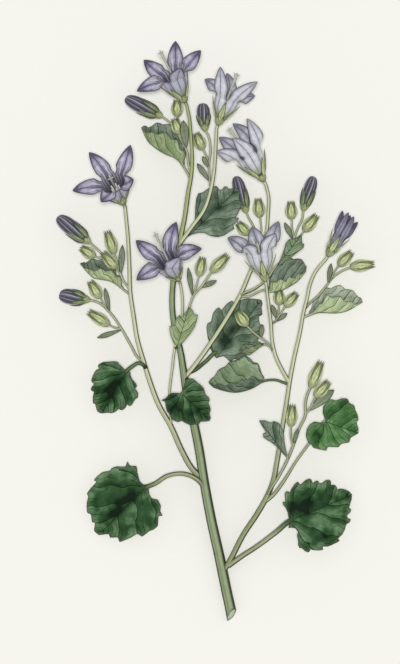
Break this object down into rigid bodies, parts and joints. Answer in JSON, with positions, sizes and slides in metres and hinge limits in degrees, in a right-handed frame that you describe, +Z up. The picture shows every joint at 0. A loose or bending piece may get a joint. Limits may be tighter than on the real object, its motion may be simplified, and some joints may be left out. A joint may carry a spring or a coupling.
{
  "type": "campanula flower stem",
  "caption": "Cut campanula sprig lying flat: branching green stem with heart-shaped toothed leaves, pale violet bell flowers with five pointed lobes, and green and violet buds.",
  "frame": {"origin": "centre of the bounding box seen from above, on the table the sprig lies on", "axes": "+X to the right of the lying sprig, +Y from the cut end to the flowering top, +Z up from the table"},
  "size_m": [0.1278, 0.232, 0.0364],
  "materials": {
    "stem": "matt living green stem, yellowish green",
    "deep_leaf": "matt deep green leaf with net veins",
    "blue_leaf": "matt blue-grey green leaf with net veins",
    "pale_leaf": "matt light green young leaf",
    "petal": "thin pale violet petal with darker midlines",
    "calyx": "matt yellow-green ovary and sepals",
    "pistil": "matt off-white style and stamens",
    "violet": "dark violet folded corolla of an unopened flower",
    "spray": "matt yellow-green side stalks, buds and bracteoles"
  },
  "bodies": {
    "root": {"calyx_centre": "calyx", "calyx_inner_right": "calyx", "calyx_left": "calyx", "calyx_outer_right": "calyx", "calyx_right_bell": "calyx", "calyx_top": "calyx", "calyx_upper_right": "calyx", "corolla_centre": "petal", "corolla_inner_right": "petal", "corolla_left": "petal", "corolla_outer_right": "petal", "corolla_right_bell": "petal", "corolla_top": "petal", "corolla_upper_right": "petal", "leaf_bract": "pale_leaf", "leaf_centre_heart": "deep_leaf", "leaf_inner_folded": "blue_leaf", "leaf_inner_small": "blue_leaf", "leaf_inner_upright": "blue_leaf", "leaf_left_folded": "blue_leaf", "leaf_left_heart": "deep_leaf", "leaf_lower_left": "deep_leaf", "leaf_lower_right": "deep_leaf", "leaf_middle_folded": "blue_leaf", "leaf_middle_large": "blue_leaf", "leaf_right_folded": "blue_leaf", "leaf_right_heart": "deep_leaf", "leaf_right_lobed": "blue_leaf", "leaf_top_folded": "blue_leaf", "leaf_upper_large": "blue_leaf", "pistil_centre": "pistil", "pistil_inner_right": "pistil", "pistil_left": "pistil", "pistil_right_bell": "pistil", "pistil_top": "pistil", "pistil_upper_right": "pistil", "spray_centre": "spray", "spray_inner_pair": "spray", "spray_inner_single": "spray", "spray_left_lower": "spray", "spray_left_upper": "spray", "spray_middle": "spray", "spray_right_inner": "spray", "spray_right_lower": "spray", "spray_right_outer": "spray", "spray_top_left": "spray", "spray_top_right": "spray", "stem": "stem", "violet_bud_left_lower": "violet", "violet_bud_left_upper": "violet", "violet_bud_middle": "violet", "violet_bud_right_inner": "violet", "violet_bud_top_left": "violet", "violet_bud_top_right": "violet"}
  },
  "joints": []
}
